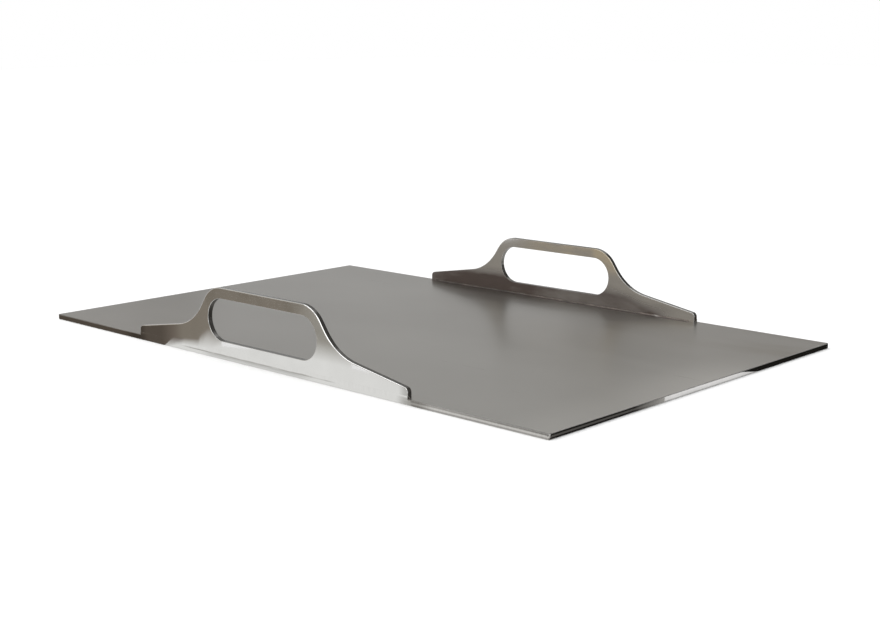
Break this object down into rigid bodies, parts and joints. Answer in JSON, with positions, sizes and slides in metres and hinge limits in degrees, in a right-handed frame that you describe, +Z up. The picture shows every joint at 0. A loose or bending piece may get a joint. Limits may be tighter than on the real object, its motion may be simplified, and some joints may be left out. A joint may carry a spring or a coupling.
{
  "type": "camp griddle plate",
  "caption": "Flat rectangular steel griddle plate with an upright sheet handle, pierced by a hand slot, welded flush along each long side.",
  "frame": {"origin": "middle of the plate's underside, on the surface it rests on", "axes": "+X along the plate's long side and its handles, +Y from the front handle to the rear handle, +Z up"},
  "size_m": [0.53, 0.325, 0.053],
  "materials": {
    "plate_steel": "satin",
    "handle_steel": "polished",
    "weld_steel": "satin"
  },
  "bodies": {
    "root": {"griddle_plate": "plate_steel", "front_handle": "handle_steel", "rear_handle": "handle_steel", "front_outer_weld": "weld_steel", "rear_outer_weld": "weld_steel", "front_inner_weld": "weld_steel", "rear_inner_weld": "weld_steel"}
  },
  "joints": []
}
